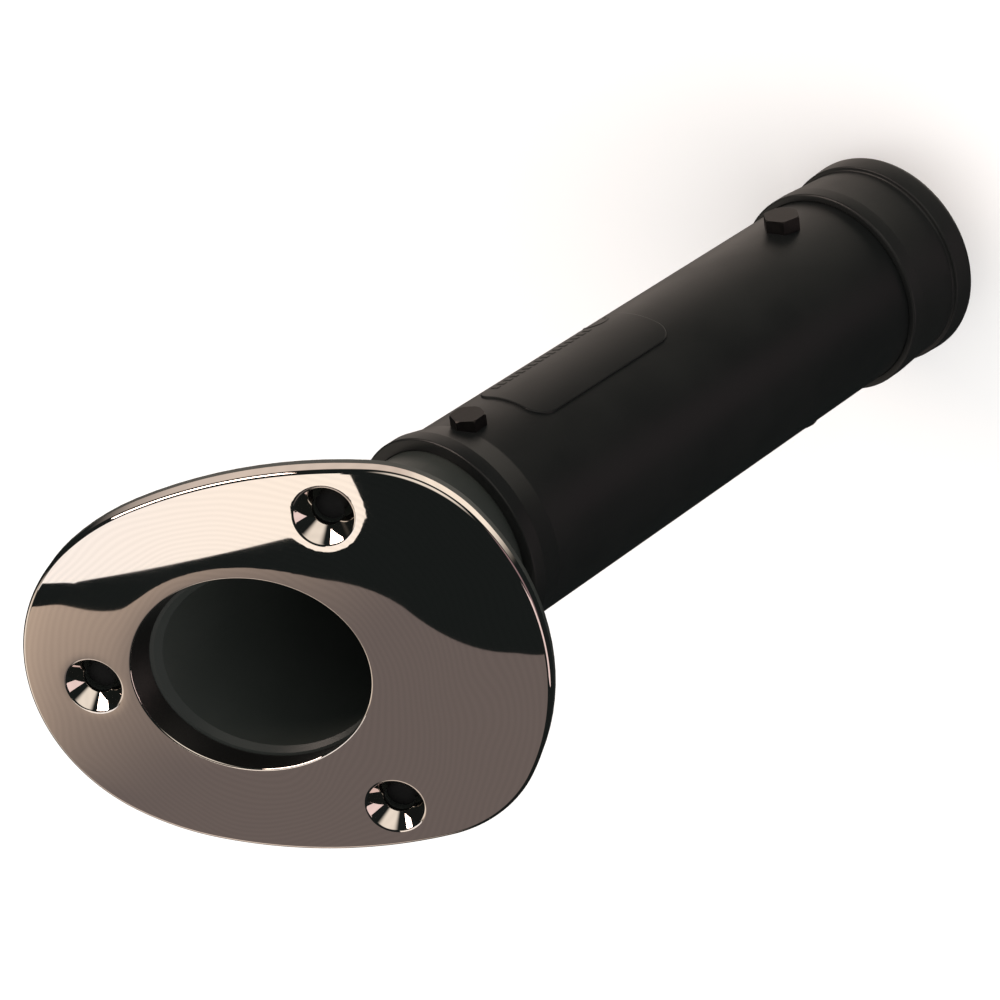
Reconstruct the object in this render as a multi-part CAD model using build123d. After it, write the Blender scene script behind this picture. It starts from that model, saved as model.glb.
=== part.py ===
"""Flush-mount rod holder: polished steel deck flange on a moulded nylon tube that leans back 30 degrees.

Frame: millimetres, +Z out of the deck, Z = 0 on the deck face under the gasket. The origin is where
the bore axis crosses that face, and the tube leans towards +X below the deck.
"""

from build123d import *
import math
import os

# ---- whole holder ------------------------------------------------------------------------------
LEAN_DEG = 30.0            # bore axis from the deck normal
SOCKET_R = 20.65           # 41.3 mm (1-5/8 in) rod socket
FIT_GAP = 0.05             # running clearance between mating parts, per side

# ---- flange outline: arcs from the big end round to the small end, mirrored about X ------------
RIM_NOSE_X = 58.5          # big end of the flange on the centreline
RIM_ARCS = (               # (radius, direction of the outward normal where the arc ends)
    (54.0, 33.5),
    (29.0, 81.0),
    (116.0, 106.5),
    (59.5, 124.0),
)

# ---- stack on the deck -------------------------------------------------------------------------
GASKET_T = 1.0
GASKET_INSET = 1.2
GASKET_HOLE_R = 24.5       # clears the tube root, measured round the leaning axis
BASE_T = 1.6
CAP_Z0 = GASKET_T + BASE_T
CAP_DOME_TOP = 8.35        # crown of the cap above the deck
CAP_DOME_R = 600.0
CAP_EDGE_R = 0.9
CAP_MOUTH_R = 22.3
CAP_LIP_R = 0.45

# ---- deck screws (number 12 countersunk), on a circle round the origin -------------------------
SCREW_PCD = 78.0
SCREW_ANGLES = (60.0, 180.0, 300.0)
SCREW_HOLE_R = 3.3
SINK_R = 6.3
SINK_ANGLE = 82.0

# ---- nylon body --------------------------------------------------------------------------------
BODY_R = 22.4
BODY_END = 213.2
ROOT_FILLET = 1.5
MOUTH_CHAMFER = 1.1
SEAT_START = 172.0         # the socket narrows here to the butt seat
SEAT_R = 19.6
RING_GROOVE_S = 206.0
RING_GROOVE_W = 2.4
RING_GROOVE_D = 1.2
RING_WIRE_R = 0.9

# ---- outer barrel ------------------------------------------------------------------------------
BARREL_START = 52.0
BARREL_END = 203.0
BARREL_R = 24.0
BEAD_R = 25.35
BEAD_W = 3.6
BEAD_TAPER = 6.0
SCREW_LINE_DEG = 96.0      # fastener line round the tube, from the side it leans away from
PAD_START = 76.0
PAD_END = 123.0
PAD_HALF_DEG = 25.0
PAD_RISE = 0.45
PAD_CORNER = 5.0

# ---- end cap -----------------------------------------------------------------------------------
COLLAR_S = 192.3
COLLAR_R = 25.8
COLLAR_W = 4.0
WAIST_R = 24.85
RIM_S = 210.0
RIM_FRONT_R = 26.0
RIM_R = 26.4
RIM_END = 217.0
RIM_ROUND = 2.0
DRAIN_R = 4.0

# ---- fasteners through the barrel ---------------------------------------------------------------
SPOT_R = 23.7              # flat seat under each head, distance from the axis
SPOT_WIDTH = 5.4
NECK_SCREW_S = 64.0
NECK_HEAD_AF = 7.0
NECK_HEAD_H = 2.8
NECK_SHANK_R = 1.95
NECK_SHANK_TIP = 20.9      # stops short of the rod socket
NECK_TURNS = (4.0, 26.0)   # how far each head happened to be turned
GIMBAL_S = 177.0
GIMBAL_HEAD_AF = 8.0
GIMBAL_HEAD_H = 3.5
GIMBAL_SHANK_R = 2.45
GIMBAL_HOLE_R = 2.6
GIMBAL_TURN = 44.0
GIMBAL_NUT_H = 4.7
GIMBAL_TAIL = 1.4

LEAN = math.radians(LEAN_DEG)
BORE = Plane(
    origin=(0, 0, 0),
    x_dir=(-math.cos(LEAN), 0, -math.sin(LEAN)),
    z_dir=(math.sin(LEAN), 0, -math.cos(LEAN)),
)


def rim_face(inset=0.0):
    """Egg-shaped flange outline, shrunk evenly by the inset, as a face on Z = 0."""
    def walk(x, y, radius, start, end):
        return (
            x + radius * (math.cos(end) - math.cos(start)),
            y + radius * (math.sin(end) - math.sin(start)),
        )

    upper = []
    x, y, angle = RIM_NOSE_X - inset, 0.0, 0.0
    for radius, end_deg in RIM_ARCS:
        end = math.radians(end_deg)
        mid_point = walk(x, y, radius - inset, angle, (angle + end) / 2)
        end_point = walk(x, y, radius - inset, angle, end)
        upper.append(((x, y), mid_point, end_point))
        (x, y), angle = end_point, end
    heel_radius = y / math.sin(angle)
    mid_point = walk(x, y, heel_radius, angle, (angle + math.pi) / 2)
    upper.append(((x, y), mid_point, (walk(x, y, heel_radius, angle, math.pi)[0], 0.0)))
    lower = [tuple((px, -py) for px, py in reversed(arc)) for arc in reversed(upper)]
    return make_face([ThreePointArc(*arc) for arc in upper + lower])


def on_bore(shape):
    """Move a shape drawn about +Z, with Z as distance down the bore, onto the leaning axis."""
    return BORE.location * shape


def turned(points):
    """Revolve a closed profile of (radius, distance down the bore) points about the bore axis."""
    wire = Polyline(*[(r, 0, s) for r, s in points], close=True)
    return on_bore(revolve(make_face(wire), Axis.Z))


def bore_rod(radius, start, end):
    """Plain cylinder on the bore axis."""
    return on_bore(Pos(0, 0, start) * Cylinder(radius, end - start, align=(Align.CENTER, Align.CENTER, Align.MIN)))


def bore_edges(shape, radius, above):
    """Edges of the shape that lie on the bore cylinder of this radius, over the height given."""
    down = BORE.z_dir

    def on_wall(point):
        return abs((point - down * point.dot(down)).length - radius) < 0.01

    return [
        edge
        for edge in shape.edges()
        if edge.center().Z > above and all(on_wall(edge @ t) for t in (0.1, 0.4, 0.7))
    ]


def cross(station, turn=0.0, far_side=False):
    """Location on the fastener line, its Z pointing outwards and its origin on the bore axis."""
    angle = SCREW_LINE_DEG + (180.0 if far_side else 0.0)
    return BORE.location * Pos(0, 0, station) * Rot(0, 0, angle) * Rot(0, 90, 0) * Rot(0, 0, turn)


def screw_holes(radius, height):
    """The three vertical clearance holes of the deck screws."""
    post = Cylinder(radius, height, align=(Align.CENTER, Align.CENTER, Align.MIN))
    return [Rot(0, 0, angle) * Pos(SCREW_PCD / 2, 0, 0) * post for angle in SCREW_ANGLES]


def hex_head(across_flats, height, chamfer_size=0.35):
    """Hexagon with its outer corners turned off, standing on Z = 0."""
    prism = extrude(RegularPolygon(across_flats / 2, 6, major_radius=False), height)
    corner_r = across_flats / math.sqrt(3)
    dress = Cylinder(corner_r, height, align=(Align.CENTER, Align.CENTER, Align.MIN))
    dress = chamfer(dress.faces().sort_by(Axis.Z)[-1].edges(), chamfer_size)
    return prism & dress


def flange_cap():
    """Domed steel cap: rounded rim, oval mouth with a rolled lip, three countersunk holes."""
    blank = Pos(0, 0, CAP_Z0) * extrude(rim_face(), 12.0)
    cap = blank & (Pos(0, 0, CAP_DOME_TOP - CAP_DOME_R) * Sphere(CAP_DOME_R))
    cap = fillet(cap.faces().sort_by(Axis.Z)[-1].edges(), CAP_EDGE_R)
    cap -= [bore_rod(CAP_MOUTH_R, -40.0, 40.0), *screw_holes(SCREW_HOLE_R, 20.0)]
    cap = fillet(bore_edges(cap, CAP_MOUTH_R, CAP_Z0 + 1.0), CAP_LIP_R)
    holes = [
        edge
        for edge in cap.edges()
        if edge.center().Z > CAP_Z0 + 1.0 and abs(edge.length - 2 * math.pi * SCREW_HOLE_R) < 0.3
    ]
    sink_width = SINK_R - SCREW_HOLE_R
    return chamfer(holes, sink_width / math.tan(math.radians(SINK_ANGLE / 2)), sink_width)


def deck_gasket():
    """Rubber gasket between the base plate and the deck."""
    sheet = extrude(rim_face(GASKET_INSET), GASKET_T)
    sheet -= bore_rod(GASKET_HOLE_R, -40.0, 40.0)
    for hole in screw_holes(SCREW_HOLE_R, GASKET_T):
        sheet -= hole
    return sheet


def holder_body():
    """Nylon moulding: base plate under the cap, and the leaning tube with its butt seat."""
    plate = Pos(0, 0, GASKET_T) * extrude(rim_face(), BASE_T)
    tube = bore_rod(BODY_R, -30.0, BODY_END)
    below = Pos(0, 0, GASKET_T) * Box(600, 600, 600, align=(Align.CENTER, Align.CENTER, Align.MAX))
    body = plate + (tube & below)
    body = fillet(bore_edges(body, BODY_R, 0.0), ROOT_FILLET)
    body -= bore_rod(SOCKET_R, -40.0, SEAT_START)
    body -= bore_rod(SEAT_R, SEAT_START - 1.0, BODY_END + 1.0)
    body = chamfer(bore_edges(body, SOCKET_R, GASKET_T), MOUTH_CHAMFER)
    body -= turned(
        [
            (BODY_R - RING_GROOVE_D, RING_GROOVE_S - RING_GROOVE_W / 2),
            (BODY_R + 1.0, RING_GROOVE_S - RING_GROOVE_W / 2),
            (BODY_R + 1.0, RING_GROOVE_S + RING_GROOVE_W / 2),
            (BODY_R - RING_GROOVE_D, RING_GROOVE_S + RING_GROOVE_W / 2),
        ]
    )
    for hole in screw_holes(SCREW_HOLE_R, 20.0):
        body -= hole
    for far_side in (False, True):
        pilot = Cylinder(NECK_SHANK_R + FIT_GAP, 40.0, align=(Align.CENTER, Align.CENTER, Align.MIN))
        body -= cross(NECK_SCREW_S, 0.0, far_side) * pilot
    body -= cross(GIMBAL_S) * Cylinder(GIMBAL_HOLE_R, 80.0)
    return body


def badge_pad():
    """Raised panel that follows the barrel, with rounded corners."""
    mid = (PAD_START + PAD_END) / 2
    length = PAD_END - PAD_START
    width = 2 * (BARREL_R + PAD_RISE) * math.sin(math.radians(PAD_HALF_DEG))
    block = extrude(RectangleRounded(length, width, PAD_CORNER), 40.0)
    sleeve = bore_rod(BARREL_R + PAD_RISE, PAD_START - 5, PAD_END + 5)
    sleeve -= bore_rod(BARREL_R - 0.5, PAD_START - 6, PAD_END + 6)
    return (cross(mid) * block) & sleeve


def outer_barrel():
    """Outer barrel: front bead, raised panel, flat seats for the fasteners."""
    inner = BODY_R + FIT_GAP
    round_r = 0.5
    barrel = turned(
        [
            (inner, BARREL_START),
            (BEAD_R - round_r, BARREL_START),
            (BEAD_R, BARREL_START + round_r),
            (BEAD_R, BARREL_START + BEAD_W),
            (BARREL_R, BARREL_START + BEAD_W + BEAD_TAPER),
            (BARREL_R, BARREL_END),
            (inner, BARREL_END),
        ]
    )
    barrel += badge_pad()
    for station, hole_r in ((NECK_SCREW_S, NECK_SHANK_R + FIT_GAP), (GIMBAL_S, GIMBAL_HOLE_R)):
        for far_side in (False, True):
            seat = Pos(0, 0, SPOT_R) * Cylinder(SPOT_WIDTH, 8.0, align=(Align.CENTER, Align.CENTER, Align.MIN))
            hole = Cylinder(hole_r, 40.0, align=(Align.CENTER, Align.CENTER, Align.MIN))
            barrel -= cross(station, 0.0, far_side) * seat
            barrel -= cross(station, 0.0, far_side) * hole
    return barrel


def end_cap():
    """Pushed-on end cap: collar over the barrel, waist on the tube, rounded rim and drained floor."""
    over_barrel = BARREL_R + FIT_GAP
    over_body = BODY_R + FIT_GAP
    floor = BODY_END
    collar_round = 0.6
    arc = [
        (RIM_R - RIM_ROUND * (1 - math.cos(math.radians(a))), RIM_END - RIM_ROUND * (1 - math.sin(math.radians(a))))
        for a in range(0, 91, 15)
    ]
    cap = turned(
        [
            (over_barrel, COLLAR_S),
            (COLLAR_R - collar_round, COLLAR_S),
            (COLLAR_R, COLLAR_S + collar_round),
            (COLLAR_R, COLLAR_S + COLLAR_W),
            (WAIST_R, RIM_S),
            (RIM_FRONT_R - 0.3, RIM_S),
            (RIM_FRONT_R, RIM_S + 0.4),
            *arc,
            (DRAIN_R, RIM_END),
            (DRAIN_R, floor),
            (over_body, floor),
            (over_body, BARREL_END),
            (over_barrel, BARREL_END),
        ]
    )
    return cap


def seal_ring():
    """O-ring between the tube end and the end cap."""
    radius = BODY_R + FIT_GAP - RING_WIRE_R
    return on_bore(Pos(0, 0, RING_GROOVE_S) * Torus(radius, RING_WIRE_R))


def neck_screws():
    """Two short hexagon screws that pin the barrel to the tube behind the bead."""
    screws = []
    for turn, far_side in zip(NECK_TURNS, (False, True)):
        shank = Pos(0, 0, NECK_SHANK_TIP) * Cylinder(
            NECK_SHANK_R, SPOT_R - NECK_SHANK_TIP, align=(Align.CENTER, Align.CENTER, Align.MIN)
        )
        head = Pos(0, 0, SPOT_R) * hex_head(NECK_HEAD_AF, NECK_HEAD_H)
        screws.append(cross(NECK_SCREW_S, turn, far_side) * (shank + head))
    return Compound(children=screws)


def gimbal_bolt():
    """Bolt across the socket that the rod's slotted butt drops over."""
    head = Pos(0, 0, SPOT_R) * hex_head(GIMBAL_HEAD_AF, GIMBAL_HEAD_H)
    tail = SPOT_R + GIMBAL_NUT_H + GIMBAL_TAIL
    shank = Pos(0, 0, -tail) * Cylinder(GIMBAL_SHANK_R, tail + SPOT_R, align=(Align.CENTER, Align.CENTER, Align.MIN))
    shank = chamfer(shank.faces().sort_by(Axis.Z)[0].edges(), 0.5)
    return cross(GIMBAL_S, GIMBAL_TURN) * (shank + head)


def gimbal_nut():
    """Locking nut on the far side of the gimbal bolt."""
    nut = hex_head(GIMBAL_HEAD_AF, GIMBAL_NUT_H, 0.5)
    nut -= Cylinder(GIMBAL_SHANK_R + FIT_GAP, 3 * GIMBAL_NUT_H)
    return cross(GIMBAL_S, 10.0, far_side=True) * Pos(0, 0, SPOT_R) * nut


PIECES = {
    "flange_cap": flange_cap,
    "holder_body": holder_body,
    "deck_gasket": deck_gasket,
    "outer_barrel": outer_barrel,
    "end_cap": end_cap,
    "seal_ring": seal_ring,
    "neck_screws": neck_screws,
    "gimbal_bolt": gimbal_bolt,
    "gimbal_nut": gimbal_nut,
}


def main():
    os.makedirs("parts", exist_ok=True)
    for name, build in PIECES.items():
        export_step(build(), f"parts/{name}.step")


if __name__ == "__main__":
    main()
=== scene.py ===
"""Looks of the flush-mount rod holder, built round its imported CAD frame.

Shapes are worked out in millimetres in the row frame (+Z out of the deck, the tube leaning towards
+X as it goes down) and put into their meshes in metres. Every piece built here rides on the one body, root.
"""

import logging
import math
from dataclasses import dataclass
from enum import Enum
from typing import Any

import bmesh
import bpy
import numpy as np
from mathutils import Matrix, Vector
from mathutils.geometry import delaunay_2d_cdt


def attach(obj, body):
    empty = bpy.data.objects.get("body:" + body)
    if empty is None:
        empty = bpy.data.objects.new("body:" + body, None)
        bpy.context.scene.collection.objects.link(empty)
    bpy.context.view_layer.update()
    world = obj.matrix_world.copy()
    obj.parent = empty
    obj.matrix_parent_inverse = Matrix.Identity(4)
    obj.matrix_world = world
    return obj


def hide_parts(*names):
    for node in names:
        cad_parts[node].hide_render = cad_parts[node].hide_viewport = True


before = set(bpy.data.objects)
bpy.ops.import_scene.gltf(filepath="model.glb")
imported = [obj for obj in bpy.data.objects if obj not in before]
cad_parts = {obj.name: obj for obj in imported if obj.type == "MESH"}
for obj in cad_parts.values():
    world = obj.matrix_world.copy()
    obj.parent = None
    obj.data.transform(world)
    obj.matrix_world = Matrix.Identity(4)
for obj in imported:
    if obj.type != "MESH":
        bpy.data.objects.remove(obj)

MM = 0.001
LEAN = math.radians(30.0)
WAVE_TURN = math.pi / 10  # a wave texture runs through one wave in this part of its unit

BORE_X = np.array([-math.cos(LEAN), 0.0, -math.sin(LEAN)])
BORE_Y = np.array([0.0, 1.0, 0.0])
BORE_DOWN = np.array([math.sin(LEAN), 0.0, -math.cos(LEAN)])

PATCH_REACH = 0.004  # millimetres between edge points that two patches share

log = logging.getLogger("rod_holder")


class Slot(Enum):
    """Material slots of the record."""

    STEEL = "polished_stainless"
    BODY = "black_nylon"
    BARREL = "black_barrel"
    CAP = "black_cap"
    RUBBER = "gasket_rubber"
    HARDWARE = "black_steel"


# ---- colours and nodes ----------------------------------------------------------------------------


def linear(code: str) -> tuple[float, float, float, float]:
    """Turn an sRGB hex colour into linear RGBA.

    Args:
        code: colour as six hex digits, with or without a leading hash.

    Returns:
        Red, green, blue and an alpha of one, linear.
    """
    digits = code.lstrip("#")
    steps = [int(digits[i : i + 2], 16) / 255 for i in (0, 2, 4)]
    channels = [c / 12.92 if c <= 0.04045 else ((c + 0.055) / 1.055) ** 2.4 for c in steps]
    return (channels[0], channels[1], channels[2], 1.0)


def add(
    tree: bpy.types.NodeTree, kind: str, inputs: dict[Any, Any] | None = None, **settings: Any
) -> Any:
    """Add one node with its settings and links.

    Args:
        tree: node tree that gets the node.
        kind: Blender's name of the node's class.
        inputs: values or output sockets by input name or number.
        settings: properties of the node itself.

    Returns:
        The new node.
    """
    node = tree.nodes.new(kind)
    for name, value in settings.items():
        setattr(node, name, value)
    for key, value in (inputs or {}).items():
        if isinstance(value, bpy.types.NodeSocket):
            tree.links.new(value, node.inputs[key])
        else:
            node.inputs[key].default_value = value
    return node


def per_mm(size: float) -> float:
    """Texture scale, on object coordinates in metres, of a feature this many millimetres across."""
    return 1.0 / (size * MM)


def started(name: str) -> tuple[bpy.types.Material, bpy.types.NodeTree, bpy.types.NodeSocket]:
    """New material, its emptied node tree, and the object coordinates in it."""
    made = bpy.data.materials.new(name)
    made.use_nodes = True
    tree = made.node_tree
    tree.nodes.clear()
    return made, tree, add(tree, "ShaderNodeTexCoord").outputs["Object"]


def noise(tree: bpy.types.NodeTree, place: bpy.types.NodeSocket, size: float, detail: float) -> Any:
    """Noise node with features this many millimetres across."""
    return add(tree, "ShaderNodeTexNoise", {"Vector": place, "Scale": per_mm(size), "Detail": detail})


def blend(tree: bpy.types.NodeTree, share: Any, low: Any, high: Any) -> bpy.types.NodeSocket:
    """Colour that goes from low to high as the share goes from zero to one."""
    return add(tree, "ShaderNodeMix", {0: share, 6: low, 7: high}, data_type="RGBA").outputs[2]


def bumped(tree: bpy.types.NodeTree, height: Any, strength: float, depth: float) -> bpy.types.NodeSocket:
    """Normal of a bump this many millimetres deep."""
    inputs = {"Height": height, "Strength": strength, "Distance": depth * MM}
    return add(tree, "ShaderNodeBump", inputs).outputs[0]


def surfaced(tree: bpy.types.NodeTree, inputs: dict[str, Any]) -> None:
    """Join a Principled shader with these inputs to the material's output."""
    shader = add(tree, "ShaderNodeBsdfPrincipled", inputs)
    add(tree, "ShaderNodeOutputMaterial", {"Surface": shader.outputs[0]})


# ---- finishes -------------------------------------------------------------------------------------


@dataclass(frozen=True)
class PolishedStainless:
    """316 stainless casting, mirror-buffed: a warm, near-perfect mirror with faint buffing lines.

    The lines are drawn coarser than real ones, line_pitch millimetres apart, so that they show.
    """

    name: str = "stainless_316_mirror_buffed"
    tint: str = "#E9E1DA"
    roughness: float = 0.018
    haze: float = 9.0
    line_pitch: float = 1.3
    line_depth: float = 0.05
    smear: float = 26.0
    wander: float = 0.012

    def material(self) -> bpy.types.Material:
        """Mirror metal whose tint carries wandering rings of buffing lines."""
        made, tree, place = started(self.name)
        drift = noise(tree, place, self.smear, 1.0)
        bend = {0: drift.outputs["Color"], 1: (self.wander,) * 3}
        bent = add(tree, "ShaderNodeVectorMath", bend, operation="MULTIPLY")
        moved = add(tree, "ShaderNodeVectorMath", {0: place, 1: bent.outputs[0]}, operation="ADD")
        scale = per_mm(self.line_pitch) * WAVE_TURN
        ring = {"Vector": moved.outputs[0], "Scale": scale, "Distortion": 0.0}
        lines = add(tree, "ShaderNodeTexWave", ring, wave_type="RINGS", rings_direction="Z")
        high = linear(self.tint)
        low = tuple(c * (1 - self.line_depth) for c in high[:3]) + (1.0,)
        shade = blend(tree, lines.outputs["Fac"], low, high)
        cloud = noise(tree, place, self.haze, 3.0).outputs["Fac"]
        span = {"Value": cloud, "To Min": self.roughness * 0.6, "To Max": self.roughness * 1.5}
        rough = add(tree, "ShaderNodeMapRange", span)
        surfaced(tree, {"Base Color": shade, "Metallic": 1.0, "Roughness": rough.outputs[0]})
        return made


@dataclass(frozen=True)
class CastStainless:
    """The same steel left as cast and blasted inside the mouth: a dark grey satin."""

    name: str = "stainless_316_blasted"
    deep: str = "#4C4B4A"
    pale: str = "#5C5B59"
    roughness: float = 0.34
    grit: float = 0.35
    grit_depth: float = 0.03

    def material(self) -> bpy.types.Material:
        """Rough metal with blasting grit in its bump."""
        made, tree, place = started(self.name)
        grain = noise(tree, place, self.grit, 2.0).outputs["Fac"]
        look = {
            "Base Color": blend(tree, grain, linear(self.deep), linear(self.pale)),
            "Metallic": 1.0,
            "Roughness": self.roughness,
            "Normal": bumped(tree, grain, 0.25, self.grit_depth),
        }
        surfaced(tree, look)
        return made


@dataclass(frozen=True)
class MouldedNylon:
    """Black glass-filled nylon, moulded: a soft sheen over a fine pebbled skin, a little uneven in tone."""

    name: str
    deep: str = "#101211"
    pale: str = "#171817"
    roughness: float = 0.42
    specular: float = 0.35
    ior: float = 1.53
    pebble: float = 0.55
    cloud: float = 14.0
    relief: float = 0.012

    def material(self) -> bpy.types.Material:
        """Dark plastic with clouded tone and roughness and a pebbled bump."""
        made, tree, place = started(self.name)
        cloud = noise(tree, place, self.cloud, 4.0).outputs["Fac"]
        grain = noise(tree, place, self.pebble, 3.0).outputs["Fac"]
        span = {
            "Value": cloud,
            "From Min": 0.3,
            "From Max": 0.7,
            "To Min": self.roughness - 0.03,
            "To Max": self.roughness + 0.04,
        }
        look = {
            "Base Color": blend(tree, cloud, linear(self.deep), linear(self.pale)),
            "Roughness": add(tree, "ShaderNodeMapRange", span).outputs[0],
            "IOR": self.ior,
            "Specular IOR Level": self.specular,
            "Normal": bumped(tree, grain, 0.5, self.relief),
        }
        surfaced(tree, look)
        return made


@dataclass(frozen=True)
class NeopreneSheet:
    """Black neoprene, die-cut: dead matt, with a dusty bloom."""

    name: str = "neoprene_sheet"
    deep: str = "#101010"
    pale: str = "#1D1C1B"
    roughness: float = 0.85
    specular: float = 0.25
    bloom: float = 3.0
    bloom_depth: float = 0.02

    def material(self) -> bpy.types.Material:
        """Matt black with a mottled bloom."""
        made, tree, place = started(self.name)
        bloom = noise(tree, place, self.bloom, 5.0).outputs["Fac"]
        look = {
            "Base Color": blend(tree, bloom, linear(self.deep), linear(self.pale)),
            "Roughness": self.roughness,
            "Specular IOR Level": self.specular,
            "Normal": bumped(tree, bloom, 0.3, self.bloom_depth),
        }
        surfaced(tree, look)
        return made


@dataclass(frozen=True)
class BlackenedSteel:
    """Hardened steel with a black oxide finish: dark, slightly oily, worn a little on the flats."""

    name: str = "steel_black_oxide"
    deep: str = "#1B1A1A"
    pale: str = "#302D2B"
    metallic: float = 0.85
    roughness: float = 0.38
    mottle: float = 1.6

    def material(self) -> bpy.types.Material:
        """Dark metal with mottled oxide."""
        made, tree, place = started(self.name)
        mottle = noise(tree, place, self.mottle, 4.0).outputs["Fac"]
        span = {"Value": mottle, "To Min": self.roughness - 0.08, "To Max": self.roughness + 0.1}
        look = {
            "Base Color": blend(tree, mottle, linear(self.deep), linear(self.pale)),
            "Metallic": self.metallic,
            "Roughness": add(tree, "ShaderNodeMapRange", span).outputs[0],
        }
        surfaced(tree, look)
        return made


# ---- meshes ---------------------------------------------------------------------------------------


@dataclass
class Patch:
    """Part of a surface: points in millimetres, a unit normal at each, faces and their finish number."""

    points: np.ndarray
    normals: np.ndarray
    faces: np.ndarray
    finish: int = 0


def unit(vectors: np.ndarray) -> np.ndarray:
    """Vectors divided by their own lengths."""
    return vectors / np.linalg.norm(vectors, axis=-1, keepdims=True)


def grid_faces(rows: int, cols: int, close_rows: bool = False, close_cols: bool = True) -> np.ndarray:
    """Quads of a grid whose points are numbered row by row.

    Args:
        rows: number of rows of points.
        cols: number of points in a row.
        close_rows: whether the last row joins the first.
        close_cols: whether the end of a row joins its start.

    Returns:
        An array of four point numbers a quad.
    """
    r = np.arange(rows if close_rows else rows - 1)[:, None]
    c = np.arange(cols if close_cols else cols - 1)[None, :]
    nr, nc = (r + 1) % rows, (c + 1) % cols
    quads = np.stack([r * cols + c, r * cols + nc, nr * cols + nc, nr * cols + c], axis=-1)
    return quads.reshape(-1, 4)


def gridded(points: np.ndarray, normals: np.ndarray, finish: int = 0) -> Patch:
    """Patch of a grid of points, each row of them a closed loop."""
    faces = grid_faces(*points.shape[:2])
    return Patch(points.reshape(-1, 3), normals.reshape(-1, 3), faces, finish)


def mesh_from(
    name: str, points: np.ndarray, faces: list[np.ndarray], finishes: list[int]
) -> bpy.types.Mesh:
    """Put arrays into a new mesh.

    Args:
        name: name of the mesh.
        points: places in millimetres.
        faces: arrays of point numbers, one array for each finish and face size.
        finishes: material number of each of those arrays.

    Returns:
        The mesh, in metres.
    """
    corners = np.concatenate([f.ravel() for f in faces]).astype(np.int32)
    sizes = np.concatenate([np.full(len(f), f.shape[1]) for f in faces])
    slots = np.concatenate([np.full(len(f), n) for f, n in zip(faces, finishes)])
    mesh = bpy.data.meshes.new(name)
    mesh.vertices.add(len(points))
    mesh.vertices.foreach_set("co", (points * MM).astype(np.float32).ravel())
    mesh.loops.add(len(corners))
    mesh.loops.foreach_set("vertex_index", corners)
    mesh.polygons.add(len(sizes))
    mesh.polygons.foreach_set("loop_start", (np.cumsum(sizes) - sizes).astype(np.int32))
    mesh.polygons.foreach_set("material_index", slots.astype(np.int32))
    mesh.update(calc_edges=True)
    return mesh


def piece(
    name: str, mesh: bpy.types.Mesh, materials: list[bpy.types.Material]
) -> bpy.types.Object:
    """Make a mesh a shown piece on the root body.

    Args:
        name: name of the piece.
        mesh: its mesh, already in place.
        materials: its materials in the order of their numbers.

    Returns:
        The object, at the origin.
    """
    made = bpy.data.objects.new(name, mesh)
    bpy.context.scene.collection.objects.link(made)
    for material in materials:
        mesh.materials.append(material)
    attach(made, "root")
    log.info("%s: %d faces", name, len(mesh.polygons))
    return made


def dress(node: str, material: bpy.types.Material) -> None:
    """Give a CAD node that keeps its own shape a finish."""
    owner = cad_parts[node]
    for slot in owner.material_slots:
        slot.material = material
    if not owner.material_slots:
        owner.data.materials.append(material)
    log.info("%s: CAD shape kept", node)


def rounded(points: list[tuple[float, float]], radii: list[float], steps: int = 5) -> np.ndarray:
    """Closed profile with its corners turned to arcs.

    Each corner's arc touches both of its sides at radius / tan(half the corner's angle) from the corner.

    Args:
        points: corners in order.
        radii: arc radius at each corner, zero for a sharp one.
        steps: spans in each arc.

    Returns:
        The profile's points.
    """
    out = []
    count = len(points)
    for i, radius in enumerate(radii):
        here = np.array(points[i], float)
        back = unit(np.array(points[i - 1], float) - here)
        on = unit(np.array(points[(i + 1) % count], float) - here)
        if radius <= 0:
            out.append(here[None, :])
            continue
        half = math.acos(float(np.clip(back @ on, -1, 1))) / 2
        reach = radius / math.tan(half)
        centre = here + unit(back + on) * radius / math.sin(half)
        start = here + back * reach - centre
        end = here + on * reach - centre
        t = np.linspace(0, 1, steps + 1)[:, None]
        sweep = math.pi - 2 * half
        arc = (np.sin((1 - t) * sweep) * start + np.sin(t * sweep) * end) / math.sin(sweep)
        out.append(centre + arc)
    return np.concatenate(out)


def revolved(name: str, profile: np.ndarray, around: int, crease_deg: float = 32.0) -> bpy.types.Mesh:
    """Turn a closed profile about the bore axis.

    A point at radius r, station s and angle a stands at r cos a along the bore's X, r sin a along its Y
    and s down the bore.

    Args:
        name: name of the mesh.
        profile: points of (radius, station) in millimetres.
        around: points round the axis.
        crease_deg: faces that meet at more than this keep a sharp edge.

    Returns:
        The closed mesh with outward faces.
    """
    angle = np.linspace(0, 2 * math.pi, around, endpoint=False)[None, :, None]
    radius, station = profile[:, 0, None, None], profile[:, 1, None, None]
    points = radius * (np.cos(angle) * BORE_X + np.sin(angle) * BORE_Y) + station * BORE_DOWN
    mesh = mesh_from(name, points.reshape(-1, 3), [grid_faces(len(profile), around, True)], [0])
    outward(mesh)
    mesh.shade_smooth()
    mesh.set_sharp_from_angle(angle=math.radians(crease_deg))
    return mesh


def outward(mesh: bpy.types.Mesh) -> None:
    """Turn every face of a closed mesh outwards."""
    work = bmesh.new()
    work.from_mesh(mesh)
    bmesh.ops.recalc_face_normals(work, faces=work.faces)
    work.to_mesh(mesh)
    work.free()


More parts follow.
